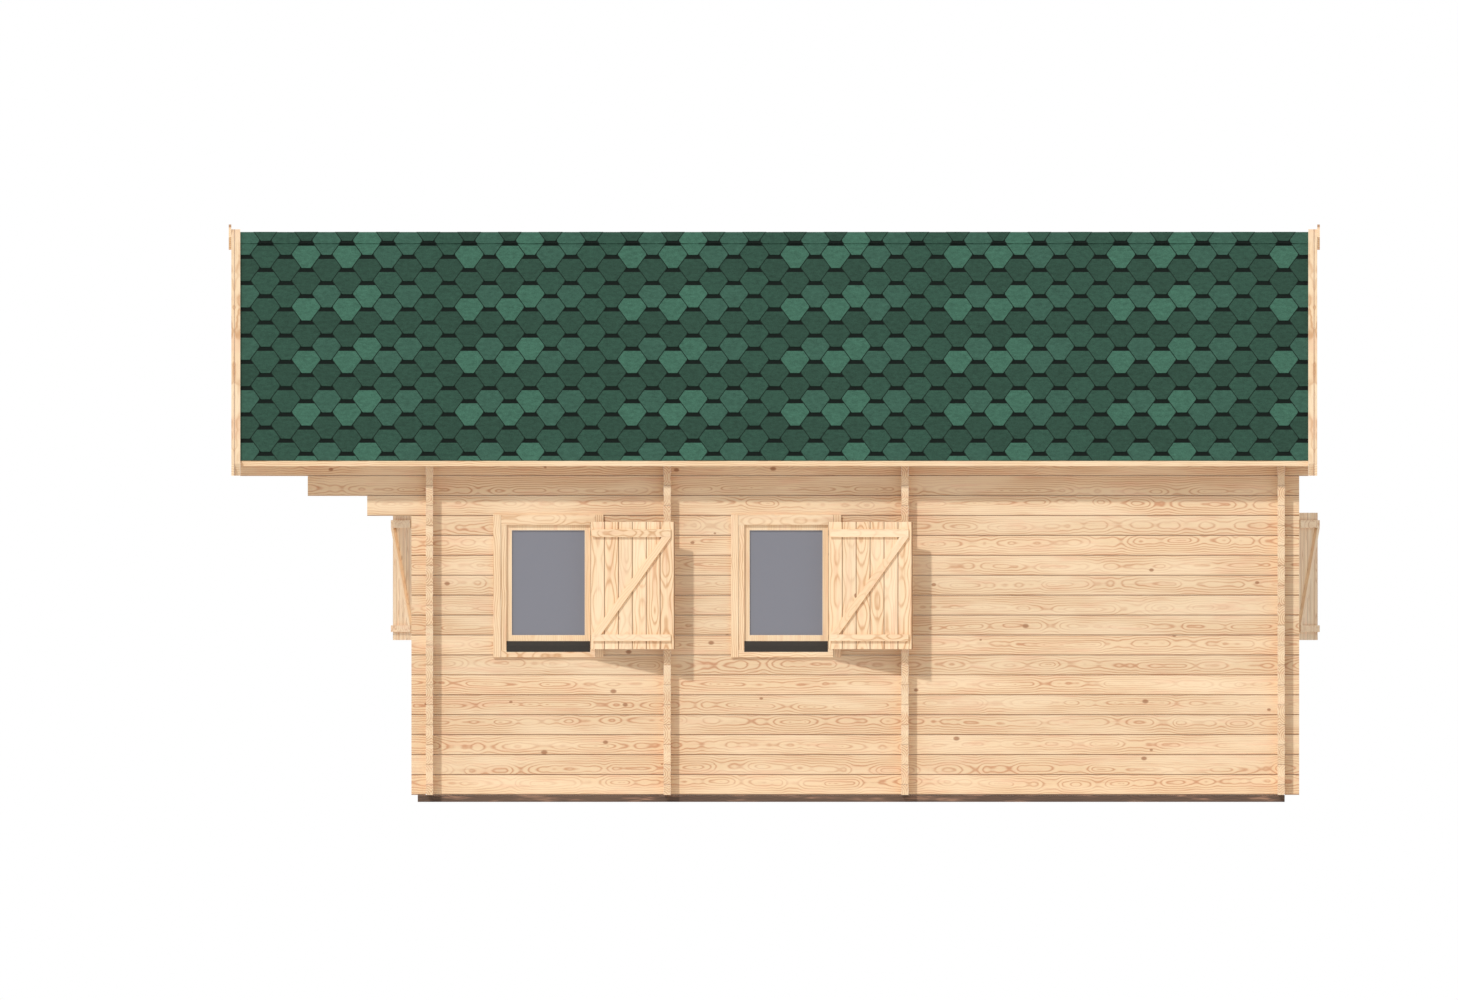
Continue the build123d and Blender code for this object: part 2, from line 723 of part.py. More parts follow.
def left_like(pieces):
    """The same pieces on the left-hand long wall."""
    return [mirror(piece, about=Plane.XZ) for piece in pieces]


def hinge_on_left(piece):
    """A window's or shutter's piece with its hinge side changed over."""
    return mirror(piece, about=Plane.YZ)


# Walls
door_opening = (FRONT_DOOR_Y, DOOR_WIDTH, CROSS_BASE, CROSS_BASE + DOOR_COURSES * COURSE)
doorway = (0, DOORWAY_WIDTH, CROSS_BASE, CROSS_BASE + DOOR_COURSES * COURSE)
front_opening = (FRONT_WINDOW_Y, WINDOW_WIDTH, END_WINDOW_Z, END_WINDOW_Z + WINDOW_HEIGHT)
rear_opening = (REAR_WINDOW_Y, WINDOW_WIDTH, END_WINDOW_Z, END_WINDOW_Z + WINDOW_HEIGHT)

right_logs = side_wall()
save("right_wall", *right_logs)
save("left_wall", *left_like(right_logs))
save("front_wall", *cross_wall(CROSS_WALL_X[0], [door_opening, front_opening], 1))
save("front_partition", *cross_wall(CROSS_WALL_X[1], [doorway]))
save("rear_partition", *cross_wall(CROSS_WALL_X[2], [doorway]))
save("rear_wall", *cross_wall(CROSS_WALL_X[3], [rear_opening], -1))

# Foundation and floor
save("foundation_beams", *foundation_beams())
save("floor_boards", *floors())

# Roof
purlins = {
    place: prism_along_x(outline, ROOF_FRONT_X + SEAT_GAP, ROOF_REAR_X - SEAT_GAP)
    for place, outline in purlin_outlines().items()
}
ridge_purlin = purlins.pop(0)
right_purlins = list(purlins.values())
save("ridge_purlin", ridge_purlin)
save("right_purlins", *right_purlins)
save("left_purlins", *left_like(right_purlins))

roof_boards = roof_layer(EAVES_Y - FASCIA_THICKNESS - SEAT_GAP, SHINGLE_THICKNESS + SEAT_GAP, ROOF_DEPTH)
shingles = roof_layer(EAVES_Y, 0, SHINGLE_THICKNESS)
save("right_roof_boards", roof_boards)
save("left_roof_boards", *left_like([roof_boards]))
save("right_shingles", shingles)
save("left_shingles", *left_like([shingles]))
save("ridge_cap", ridge_cap())
save("fascia_boards", *both_sides(fascia()))

# Verges, from the shingles outwards
front_verge_x = ROOF_FRONT_X - VERGE_BOARD_THICKNESS
front_barge_x = front_verge_x - BARGEBOARD_THICKNESS
rear_verge_x = ROOF_REAR_X + VERGE_BOARD_THICKNESS
rear_barge_x = rear_verge_x + BARGEBOARD_THICKNESS
save("front_verge_boards", *both_sides(verge_board(front_verge_x, ROOF_FRONT_X - SEAT_GAP)))
save("rear_verge_boards", *both_sides(verge_board(ROOF_REAR_X + SEAT_GAP, rear_verge_x)))
save("front_bargeboards", *both_sides(bargeboard(front_barge_x, front_verge_x - SEAT_GAP)))
save("rear_bargeboards", *both_sides(bargeboard(rear_verge_x + SEAT_GAP, rear_barge_x)))
save("front_finial", finial(front_barge_x - FINIAL_THICKNESS, front_barge_x - SEAT_GAP))
save("rear_finial", finial(rear_barge_x + SEAT_GAP, rear_barge_x + FINIAL_THICKNESS))

# Windows
right_frames = at_places(RIGHT_WINDOWS, window_frame())
save("right_window_frames", *right_frames)
save("left_window_frames", *left_like(right_frames))
save("front_window_frame", *at_places([FRONT_WINDOW], window_frame()))
save("rear_window_frame", *at_places([REAR_WINDOW], window_frame()))
for node, piece in (
    ("window_sashes", window_sash()),
    ("window_panes", window_pane()),
    ("window_sills", window_sill()),
):
    seen = at_places(RIGHT_WINDOWS, [piece])
    ends = at_places([FRONT_WINDOW, REAR_WINDOW], [piece])
    save(node, *seen, *left_like(seen), *ends)

# Front door
save("door_frame", *at_places([FRONT_DOOR], door_frame()))
save("door_leaf", FRONT_DOOR * door_leaf())
save("door_pane", FRONT_DOOR * door_pane())
save("door_handle", FRONT_DOOR * door_handle())

# Shutters
side_boards = [on_hinge(piece) for piece in shutter_boards()]
side_battens = [on_hinge(piece) for piece in shutter_battens()]
side_hinges = [on_hinge(piece) for piece in shutter_hinges()]
side_pintles = [on_hinge(piece, turned=False) for piece in shutter_pintles()]
end_boards = [on_hinge(piece, END_SHUTTER_DROP) for piece in shutter_boards()]
end_battens = [on_hinge(piece, END_SHUTTER_DROP) for piece in shutter_battens()]
end_hinges = [on_hinge(piece, END_SHUTTER_DROP) for piece in shutter_hinges()]
end_pintles = [on_hinge(piece, END_SHUTTER_DROP, turned=False) for piece in shutter_pintles()]

for name, place in zip(("right_front_shutter", "right_rear_shutter"), RIGHT_WINDOWS):
    save(f"{name}_boards", *at_places([place], side_boards))
    save(f"{name}_battens", *at_places([place], side_battens))
    save(f"{name}_hinges", *at_places([place], side_hinges))
save("rear_shutter_boards", *at_places([REAR_WINDOW], end_boards))
save("rear_shutter_battens", *at_places([REAR_WINDOW], end_battens))
save("rear_shutter_hinges", *at_places([REAR_WINDOW], end_hinges))
save("front_shutter_boards", *at_places([FRONT_WINDOW], map(hinge_on_left, end_boards)))
save("front_shutter_battens", *at_places([FRONT_WINDOW], map(hinge_on_left, end_battens)))
save("front_shutter_hinges", *at_places([FRONT_WINDOW], map(hinge_on_left, end_hinges)))
save("left_shutter_boards", *left_like(at_places(RIGHT_WINDOWS, side_boards)))
save("left_shutter_battens", *left_like(at_places(RIGHT_WINDOWS, side_battens)))
save("left_shutter_hinges", *left_like(at_places(RIGHT_WINDOWS, side_hinges)))

right_pintles = at_places(RIGHT_WINDOWS, side_pintles)
save(
    "shutter_pintles",
    *right_pintles,
    *left_like(right_pintles),
    *at_places([REAR_WINDOW], end_pintles),
    *at_places([FRONT_WINDOW], map(hinge_on_left, end_pintles)),
)
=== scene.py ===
"""The garden house as photographed: planed pine logs, green hexagon shingles, open boarded shutters."""
import json
import math
import random

import bpy
from mathutils import Matrix, Vector


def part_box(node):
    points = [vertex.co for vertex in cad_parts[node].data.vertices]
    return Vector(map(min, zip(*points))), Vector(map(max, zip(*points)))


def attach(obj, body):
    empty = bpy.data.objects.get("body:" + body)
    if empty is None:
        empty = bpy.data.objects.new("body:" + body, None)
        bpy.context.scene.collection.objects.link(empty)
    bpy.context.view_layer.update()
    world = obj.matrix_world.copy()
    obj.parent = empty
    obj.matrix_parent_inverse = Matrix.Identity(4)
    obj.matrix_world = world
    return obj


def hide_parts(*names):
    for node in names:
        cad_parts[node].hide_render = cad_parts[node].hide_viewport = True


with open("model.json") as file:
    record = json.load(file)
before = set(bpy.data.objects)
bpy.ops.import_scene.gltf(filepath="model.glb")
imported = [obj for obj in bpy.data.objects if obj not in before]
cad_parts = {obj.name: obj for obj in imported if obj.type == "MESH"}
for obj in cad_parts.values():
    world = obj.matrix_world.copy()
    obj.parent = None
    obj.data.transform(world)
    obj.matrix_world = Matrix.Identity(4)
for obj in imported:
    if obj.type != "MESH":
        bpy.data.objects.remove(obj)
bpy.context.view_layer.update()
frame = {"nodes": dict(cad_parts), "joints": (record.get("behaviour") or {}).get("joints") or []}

# The photograph's framing, in metres
IMAGE_WIDTH = 1458
METRES_PER_PIXEL = 0.00572
CAMERA_X = -0.259
CAMERA_Z = 1.727
CAMERA_DISTANCE = 20.0

# Light: a soft sun from the upper left in front, and an even sky over a wide floor
SUN_DIRECTION = Vector((0.6, 1.0, -0.98))
SUN_STRENGTH = 1.74
SUN_SPREAD = math.radians(2.5)
SKY_STRENGTH = 0.56
FLOOR_SIZE = 60.0
FLOOR_DROP = 0.001

# The house's own sizes, as in the model
COURSE = 0.114
WALL_BASE = 0.040
LOG_CHAMFER = 0.006
SHUTTER_BOARD = 0.082
ROOF_BOARD = 0.096
FLOOR_BOARD = 0.110
DOOR_BOARD = 0.09
PITCH = math.radians(30.5)
WINDOW_SPACING = 1.36

# Window boards: the bead's distance from a window's middle, and the heights of the boards laid across
BEAD_PLACE = 0.2705
RAIL_WIDTH = 0.062
FOOT_WIDTH = 0.040

# Shutters: how far an open one is turned, and the heights of the brace's ends above the lower ledger's foot.
# Each that moves has its wall's turn from the long wall, and the side to which its boards lie
OPEN_TURN = math.radians(166.3 - 180)
HINGE_MARGIN = 0.2
BRACE_FOOT = 0.0383
BRACE_HEAD = 0.5947
SMALL = 0.00015
UP = Vector((0, 0, 1))
TO_LEFT_WALL = Vector((1, -1, 1))
SHUTTERS = {
    "right_front_shutter": (0.0, 1),
    "right_rear_shutter": (0.0, 1),
    "rear_shutter": (math.pi / 2, 1),
    "front_shutter": (-math.pi / 2, -1),
}

# The grain's direction, and the direction across the boards
LONG_WALL = ((1, 0, 0), (0, 0, 1))
CROSS_WALL = ((0, 1, 0), (0, 0, 1))
FLOOR = ((1, 0, 0), (0, 1, 0))
UPRIGHT_X = ((0, 0, 1), (1, 0, 0))
UPRIGHT_Y = ((0, 0, 1), (0, 1, 0))
DOWN_SLOPE = (0, math.cos(PITCH), -math.sin(PITCH))
OFF_SLOPE = (0, math.sin(PITCH), math.cos(PITCH))

# Wood with rows of its own: how wide a row is, and where the rows start
PURLIN_ROW = 0.5
PURLIN_START = (0, 0, 0.03)
VERGE_ROW = 0.4
VERGE_START = (0, 0, 0.2)
FINIAL_ROW = 0.6
FINIAL_START = (0, -0.3, 0)
FASCIA_ROW = 0.3
FASCIA_START = (0, 0, 1.9)
SASH_ROW = 0.3
SASH_START = (-3.04, 0, 0)
LEDGER_ROW = 0.045
BRACE_ROW = 0.3
DOOR_START = (0, -3, 0)

# Widths of the dark lines between boards
FLOOR_SEAM = 0.003
ROOF_SEAM = 0.004
BEAD_SEAM = 0.0022
DOOR_SEAM = 0.0025
SHUTTER_SEAM = 0.004
JOINT_LINE = 0.004

# Wood figure. The stem's heart lies at a share of the board's width, and sways along its length
HEART_LEAST = 0.3
HEART_SPREAD = 0.4
HEART_SWAY = 0.06
HEART_RATE = 0.9
ARCH_RATE = 4.2
LONG_ARCH_RATE = 2.2
ARCH_DEPTH = 0.13
ARCH_MIDDLE = 0.45
ARCH_LAYER = 9.0
DEPTH_SPREAD = 0.02
BOARD_DEPTH = 0.03
BOARD_SHIFT = 5.37
WINDOW_STEP = 7.0
RING_WIDTH = 0.012
RING_SHARPNESS = 3.6
FIBRE_RATES = (3.0, 70.0, 70.0)
FIBRE_DETAIL = 4.0
FIBRE_ROUGHNESS = 0.6
FIBRE_IN_RINGS = 0.006
PATCH_RATES = (1.6, 9.0)
STREAK_RATES = (4.0, 30.0)
PATCH_DETAIL = 3.0

# Wood tones: the range of noise over which each comes in, and its share there
PALE_RANGE = (0.3, 0.62)
STREAK_RANGE = (0.5, 0.72)
STREAK_SHARE = 0.35
RING_RANGE = (0.36, 0.62)
RING_LEAST = 0.22
RING_SPREAD = 0.6
FIBRE_RANGE = (0.52, 0.75)
FIBRE_SHARE = 0.35
BOARD_TONE_LEAST = 0.95
BOARD_TONE_SPREAD = 0.09

# Knots: their size and its least share, the share of places left without one, and the edge they fade over
KNOT_SIZE = 0.022
SHUTTER_KNOT_SIZE = 0.03
KNOT_LEAST = 0.5
KNOT_MISSES = 0.45
KNOT_RATES = (2.1, 3.1)
KNOT_EDGE = (0.7, 1.6)
KNOT_SHARE = 0.75

# Board edges: shares of a line's width over which it fades, and how dark it gets. The groove's is painted
# shade on the logs' down-facing chamfers; seams and joints are dark lines between boards
GROOVE_SHADE_EDGE = (0.5, 1.3)
GROOVE_SHADE_SHARE = 0.45
SEAM_EDGE = 0.3
SEAM_SHARE = 0.75
SEAM_RELIEF = 3.0
JOINT_EDGE = 0.5
JOINT_SHARE = 0.6

# Wood surface
RING_RELIEF = 0.4
WOOD_RELIEF = 0.0006
WOOD_ROUGHNESS = 0.48
WOOD_ROUGHNESS_SPREAD = 0.2

# The other finishes' surface
FINISH_DETAIL = 4.0
FINISH_GRAIN = 0.6
FINISH_RELIEF = 0.0003
FINISH_ROUGHNESS_DROP = 0.07
FINISH_ROUGHNESS_SPREAD = 0.15

# Shingle granules: rate, detail and roughness of their noise, and how much each sways the tone
FINE_GRANULES = (160.0, 3.0, 0.7)
FINE_SPREAD = 1.3
COARSE_GRANULES = (34.0, 3.0, 0.6)
COARSE_SPREAD = 0.9
GRANULE_RELIEF = 0.0015
GRANULE_SPECULAR = 0.15
GRANULE_ROUGHNESS = 0.92

# Shingle tabs. A tab drops by its own thickness over TILT_ROWS rows
TAB_PITCH = 0.233
TAB_SETOFF = 0.144
TAB_FLAT = 0.062
TAB_WIDTH = 0.170
TAB_EXPOSURE = 0.1480
TILT_ROWS = 2.3
TAB_THICKNESS = 0.003
TAB_TILT = TAB_THICKNESS / (TILT_ROWS * TAB_EXPOSURE)
TAB_OVERLAP = 0.04
TOP_ROW = 0.101
SHADE_BAND = 0.045
# Width of the painted shade strip along each tab's slanted lower sides, where the tab steps down onto the row
# below
PAINTED_EDGE_SHADE = 0.005
TONE_ROWS = 4
TONE_COLUMNS = 4
TONE_SEED = 1360
ROW_SEEDS = 1000
TAB_TONES = (0.95, 1.05)

# Colours as sRGB, 0 to 255. A wood has a pale, a middle and a dark tone
LOGS = ((244, 217, 180), (236, 206, 166), (197, 137, 98))
TRIM = ((250, 223, 186), (246, 214, 173), (206, 154, 106))
PLAIN_TRIM = (*TRIM[:2], (234, 196, 152))
BEAMS = ((103, 80, 63), (93, 71, 56), (74, 55, 43))
WOOD_RED = (235, 181, 147)
# Painted shade in the logs' lower chamfers, and the dark seams and joints between boards
GROOVE = (140, 92, 58)
KNOT = (150, 92, 52)
GLASS = (125, 126, 135)
SILL = (56, 52, 47)
IRON = (38, 37, 36)
STEEL = (170, 170, 168)
PALE_FLOOR = (246, 246, 246)
SHINGLE_TONES = [(45, 73, 60), (49, 80, 66), (53, 87, 71), (58, 93, 78), (65, 106, 88)]
# The 'line' colour is painted shade along each tab's slanted lower sides
EDGE_COLOURS = {"shade": (3, 14, 8), "line": (22, 40, 31)}

# Seeds that set the pieces' figures apart, and the steps between those of a row of pieces
SEEDS = {
    "right_wall": 3.0, "left_wall": 71.0, "cross_walls": 130.0, "beams": 5.0, "floor": 7.0, "roof": 11.0,
    "purlins": 13.0, "verge": 17.0, "finials": 19.0, "fascia": 23.0, "casings": 29.0, "sashes": 31.0,
    "door": 37.0, "shutters": 200.0, "left_shutter": 300.0,
}
WALL_SEED_STEP = 40
CASING_SEED_STEP = 4
SHUTTER_SEED_STEP = 17
LEDGER_SEED_STEP = 3
BRACE_SEED_STEP = 5

# A mix node's colour sockets, which share their names with others
MIX_COLOURS = (6, 7)
MIX_RESULT = 2


def linear(rgb):
    """An sRGB colour as linear RGBA."""
    parts = [c / 255 for c in rgb]
    return [c / 12.92 if c <= 0.04045 else ((c + 0.055) / 1.055) ** 2.4 for c in parts] + [1.0]


class Graph:
    """A new material, with help to add and link its shader nodes."""

    def __init__(self, name):
        self.material = bpy.data.materials.new(name)
        self.material.use_nodes = True
        self.tree = self.material.node_tree
        self.shader = self.tree.nodes["Principled BSDF"]
        self.place = self.node("ShaderNodeTexCoord", out="Object")

    def node(self, kind, *inputs, out=0, **settings):
        """Add a node, fill or link its inputs in order, and return one of its outputs."""
        node = self.tree.nodes.new(kind)
        for key, value in settings.items():
            setattr(node, key, value)
        for socket, value in zip(node.inputs, inputs):
            self.feed(socket, value)
        return node.outputs[out]

    def feed(self, socket, value):
        """Link a socket, or set it to a constant."""
        if isinstance(value, bpy.types.NodeSocket):
            self.tree.links.new(value, socket)
        elif value is not None:
            socket.default_value = value

    def math(self, operation, *values):
        """A math node's result."""
        return self.node("ShaderNodeMath", *values, operation=operation)

    def vector(self, x, y, z):
        """A vector of three values."""
        return self.node("ShaderNodeCombineXYZ", x, y, z)

    def split(self, value, kind="ShaderNodeSeparateXYZ"):
        """The three parts of a vector, or of a colour with a node of that kind."""
        node = self.tree.nodes.new(kind)
        self.feed(node.inputs[0], value)
        return node.outputs

    def noise(self, vector, scale, detail, roughness=0.5):
        """Smooth noise, about 0.5 on average."""
        return self.node("ShaderNodeTexNoise", vector, None, scale, detail, roughness)

    def mix(self, amount, first, second, blend="MIX"):
        """Two colours mixed."""
        node = self.tree.nodes.new("ShaderNodeMix")
        node.data_type = "RGBA"
        node.blend_type = blend
        self.feed(node.inputs[0], amount)
        for index, colour in zip(MIX_COLOURS, (first, second)):
            self.feed(node.inputs[index], colour)
        return node.outputs[MIX_RESULT]

    def toned(self, colour, tone):
        """A colour made lighter or darker by a factor."""
        return self.mix(1.0, colour, self.node("ShaderNodeCombineColor", tone, tone, tone), "MULTIPLY")

    def step(self, value, low, high):
        """0 below low, 1 above high, smooth between."""
        return self.node("ShaderNodeMapRange", value, low, high, interpolation_type="SMOOTHSTEP")

    def fading(self, value, low, high):
        """1 below low, 0 above high, smooth between."""
        return self.math("SUBTRACT", 1.0, self.step(value, low, high))

    def bump(self, height, distance):
        """Relief on the shader's normal."""
        node = self.tree.nodes.new("ShaderNodeBump")
        node.inputs["Strength"].default_value = 1.0
        node.inputs["Distance"].default_value = distance
        self.feed(node.inputs["Height"], height)
        self.feed(self.shader.inputs["Normal"], node.outputs[0])

    def finish(self, colour, roughness):
        """Set colour and roughness and return the material."""
        self.feed(self.shader.inputs["Base Color"], colour)
        self.feed(self.shader.inputs["Roughness"], roughness)
        return self.material


class Wood(Graph):
    """Shader nodes for boards of planed softwood, cut from round stems."""

    def lay_out(self, axes, origin, mirrored):
        """Measure along the grain, across the boards and into them."""
        place = self.place
        if mirrored:
            place = self.node("ShaderNodeVectorMath", place, operation="ABSOLUTE")
        grain, width = (Vector(axis).normalized() for axis in axes)
        turn = Matrix([grain, width, grain.cross(width)]).transposed().to_euler()
        place = self.node("ShaderNodeMapping", place, origin, tuple(turn), vector_type="TEXTURE")
        self.along, self.across, depth = self.split(place)
        self.depth = self.math("PINGPONG", depth, BOARD_DEPTH)

    def part_windows(self, repeat):
        """Start the boards anew round each of a row of windows that far apart, and number the windows."""
        window = self.math("FLOOR", self.math("MULTIPLY_ADD", self.across, 1 / repeat, 0.5))
        self.across = self.math("SUBTRACT", self.across, self.math("MULTIPLY", window, repeat))
        return window

    def turn_rails(self, low, high, half):
        """Let the grain run across beyond a height range, where the middle is nearer than half."""
        beyond = self.math("ABSOLUTE", self.math("SUBTRACT", self.along, (low + high) / 2))
        turned = self.math("GREATER_THAN", beyond, (high - low) / 2)
        close = self.math("LESS_THAN", self.math("ABSOLUTE", self.across), half)
        turned = self.math("MULTIPLY", turned, close)
        change = self.math("MULTIPLY", turned, self.math("SUBTRACT", self.across, self.along))
        self.along = self.math("ADD", self.along, change)
        self.across = self.math("SUBTRACT", self.across, change)

    def number_boards(self, pitch, window, seed):
        """Find the place inside a board, and give each board random values of its own."""
        row = self.math("DIVIDE", self.across, pitch)
        number = self.math("MULTIPLY_ADD", window, WINDOW_STEP, self.math("FLOOR", row))
        self.inside = self.math("MULTIPLY", self.math("FRACT", row), pitch)
        own = self.math("ADD", number, seed)
        chance = self.node("ShaderNodeTexWhiteNoise", None, own, out="Color", noise_dimensions="1D")
        self.chances = self.split(chance)
        self.shift = self.math("MULTIPLY_ADD", number, BOARD_SHIFT, seed)

    def swaying(self, rate, layer, detail):
        """Noise that changes along a board alone."""
        place = self.vector(self.math("MULTIPLY", self.along, rate), self.shift, layer)
        return self.noise(place, 1.0, detail)

    def drawn_out(self, rates):
        """Noise drawn out along the grain, other on each board."""
        along, across = rates
        place = self.vector(
            self.math("MULTIPLY", self.along, along), self.math("MULTIPLY", self.across, across), self.shift,
        )
        return self.noise(place, 1.0, PATCH_DETAIL)

    def draw_fibres(self):
        """Fine fibres along the grain, over all boards alike."""
        parts = zip((self.along, self.across, self.depth), FIBRE_RATES)
        place = self.vector(*(self.math("MULTIPLY", part, rate) for part, rate in parts))
        self.fibre = self.noise(place, 1.0, FIBRE_DETAIL, FIBRE_ROUGHNESS)

    def draw_rings(self, pitch, arch_rate):
        """The heart wanders in and out of the face, so its rings meet the face in chains of arches."""
        wander = self.swaying(HEART_RATE, layer=0.0, detail=1.0)
        lift = self.swaying(arch_rate, layer=ARCH_LAYER, detail=2.0)
        heart = self.math("MULTIPLY_ADD", self.chances[0], HEART_SPREAD, HEART_LEAST)
        side = self.math("SUBTRACT", self.inside, self.math("MULTIPLY", heart, pitch))
        side = self.math("MULTIPLY_ADD", self.math("SUBTRACT", wander, 0.5), HEART_SWAY, side)
        deep = self.math("MULTIPLY_ADD", self.math("SUBTRACT", lift, ARCH_MIDDLE), ARCH_DEPTH, self.depth)
        deep = self.math("MULTIPLY_ADD", self.chances[1], DEPTH_SPREAD, deep)
        squares = self.math("ADD", self.math("MULTIPLY", side, side), self.math("MULTIPLY", deep, deep))
        radius = self.math("MULTIPLY_ADD", self.fibre, FIBRE_IN_RINGS, self.math("SQRT", squares))
        wave = self.math("SINE", self.math("MULTIPLY", radius, 2 * math.pi / RING_WIDTH))
        self.rings = self.math("POWER", self.math("MULTIPLY_ADD", wave, 0.5, 0.5), RING_SHARPNESS)

    def stain(self, amount, share, rgb):
        """Mix in a colour's share where the amount says so."""
        self.colour = self.mix(self.math("MULTIPLY", amount, share), self.colour, linear(rgb))

    def tint(self, pale, middle, dark):
        """Patches, reddish streaks, rings and fibres, and a tone for each board."""
        patch = self.drawn_out(PATCH_RATES)
        self.colour = self.mix(self.step(patch, *PALE_RANGE), linear(pale), linear(middle))
        self.stain(self.step(self.drawn_out(STREAK_RATES), *STREAK_RANGE), STREAK_SHARE, WOOD_RED)
        ring_share = self.math("MULTIPLY_ADD", self.step(patch, *RING_RANGE), RING_SPREAD, RING_LEAST)
        self.stain(self.rings, ring_share, dark)
        self.stain(self.step(self.fibre, *FIBRE_RANGE), FIBRE_SHARE, dark)
        tone = self.math("MULTIPLY_ADD", self.chances[2], BOARD_TONE_SPREAD, BOARD_TONE_LEAST)
        self.colour = self.toned(self.colour, tone)

    def scatter_knots(self, size):
        """Knots, a little longer than wide."""
        along, across = KNOT_RATES
        shifted = self.math("MULTIPLY_ADD", self.along, along, self.shift)
        place = self.vector(shifted, self.math("MULTIPLY", self.across, across), 0.0)
        cell = self.tree.nodes.new("ShaderNodeTexVoronoi")
        cell.voronoi_dimensions = "2D"
        cell.inputs["Scale"].default_value = 1.0
        self.feed(cell.inputs["Vector"], place)
        chances = self.split(cell.outputs["Color"], "ShaderNodeSeparateColor")
        radius = self.math("MULTIPLY_ADD", chances[0], size, KNOT_LEAST * size)
        near = self.fading(self.math("DIVIDE", cell.outputs["Distance"], radius), *KNOT_EDGE)
        near = self.math("MULTIPLY", near, self.math("GREATER_THAN", chances[1], KNOT_MISSES))
        self.stain(near, KNOT_SHARE, KNOT)

    def paint_groove_shade(self, width):
        """Paint shade on the chamfer at each board's lower edge, which faces down away from the sun."""
        start, end = GROOVE_SHADE_EDGE
        self.stain(self.fading(self.inside, start * width, end * width), GROOVE_SHADE_SHARE, GROOVE)

    def draw_seam(self, width, pitch):
        """Draw a line between boards, and return its relief."""
        edge = self.math("MINIMUM", self.inside, self.math("SUBTRACT", pitch, self.inside))
        self.stain(self.fading(edge, SEAM_EDGE * width, width), SEAM_SHARE, GROOVE)
        return self.math("MULTIPLY", self.step(edge, 0.0, width), SEAM_RELIEF)

    def draw_joint(self, joint):
        """Draw a line at the X where two boards meet face to face."""
        apart = self.math("ABSOLUTE", self.math("SUBTRACT", self.split(self.place)[0], joint))
        self.stain(self.fading(apart, JOINT_EDGE * JOINT_LINE, JOINT_LINE), JOINT_SHARE, GROOVE)


def wood(name, axes, seed, origin=(0, 0, 0), pitch=COURSE, colours=LOGS, mirrored=False, groove=0.0,
         seam=0.0, joint=None, repeat=None, rails=None, knots=KNOT_SIZE, arch_rate=ARCH_RATE):
    """Planed softwood.

    axes are the grain's direction and the direction across the boards, which are a pitch wide from
    the origin on. mirrored makes both sides of the house alike. groove sets the width of painted shade
    on the chamfer at the boards' lower edges, seam and joint are lines at the boards' edges, repeat is
    the distance between windows, and rails are the height range and half width of turn_rails.
    """
    g = Wood(name)
    g.lay_out(axes, origin, mirrored)
    window = g.part_windows(repeat) if repeat else 0.0
    if rails:
        g.turn_rails(*rails)
    g.number_boards(pitch, window, seed)
    g.draw_fibres()
    g.draw_rings(pitch, arch_rate)
    g.tint(*colours)
    if knots:
        g.scatter_knots(knots)
    relief = g.math("ADD", g.math("MULTIPLY", g.rings, RING_RELIEF), g.fibre)
    if groove:
        g.paint_groove_shade(groove)
    if seam:
        relief = g.math("ADD", relief, g.draw_seam(seam, pitch))
    if joint:
        g.draw_joint(joint)
    g.bump(relief, WOOD_RELIEF)
    return g.finish(g.colour, g.math("MULTIPLY_ADD", g.fibre, WOOD_ROUGHNESS_SPREAD, WOOD_ROUGHNESS))


def speckled(name, colour, spread, rate, roughness, metallic=0.0, coat=0.0, specular=0.5):
    """A plain finish with fine mottling and relief."""
    g = Graph(name)
    grain = g.noise(g.place, rate, FINISH_DETAIL, FINISH_GRAIN)
    tone = g.math("MULTIPLY_ADD", g.math("SUBTRACT", grain, 0.5), spread, 1.0)
    g.shader.inputs["Metallic"].default_value = metallic
    g.shader.inputs["Coat Weight"].default_value = coat
    g.shader.inputs["Specular IOR Level"].default_value = specular
    g.bump(grain, FINISH_RELIEF)
    rough = g.math("MULTIPLY_ADD", grain, FINISH_ROUGHNESS_SPREAD, roughness - FINISH_ROUGHNESS_DROP)
    return g.finish(g.toned(linear(colour), tone), rough)


def shingle_material():
    """Mineral granules over each tab's own tone."""
    g = Graph("shingle_granules")
    own = g.node("ShaderNodeAttribute", out="Color", attribute_name="tone")
    fine = g.noise(g.place, *FINE_GRANULES)
    coarse = g.noise(g.place, *COARSE_GRANULES)
    speck = g.math("MULTIPLY_ADD", g.math("SUBTRACT", fine, 0.5), FINE_SPREAD, 1.0)
    speck = g.math("MULTIPLY_ADD", g.math("SUBTRACT", coarse, 0.5), COARSE_SPREAD, speck)
    g.bump(fine, GRANULE_RELIEF)
    g.shader.inputs["Specular IOR Level"].default_value = GRANULE_SPECULAR
    return g.finish(g.toned(own, speck), GRANULE_ROUGHNESS)


def dress(material, *nodes):
    """Give CAD nodes a material."""
    for name in nodes:
        slots = frame["nodes"][name].data.materials
        slots.clear()
        slots.append(material)


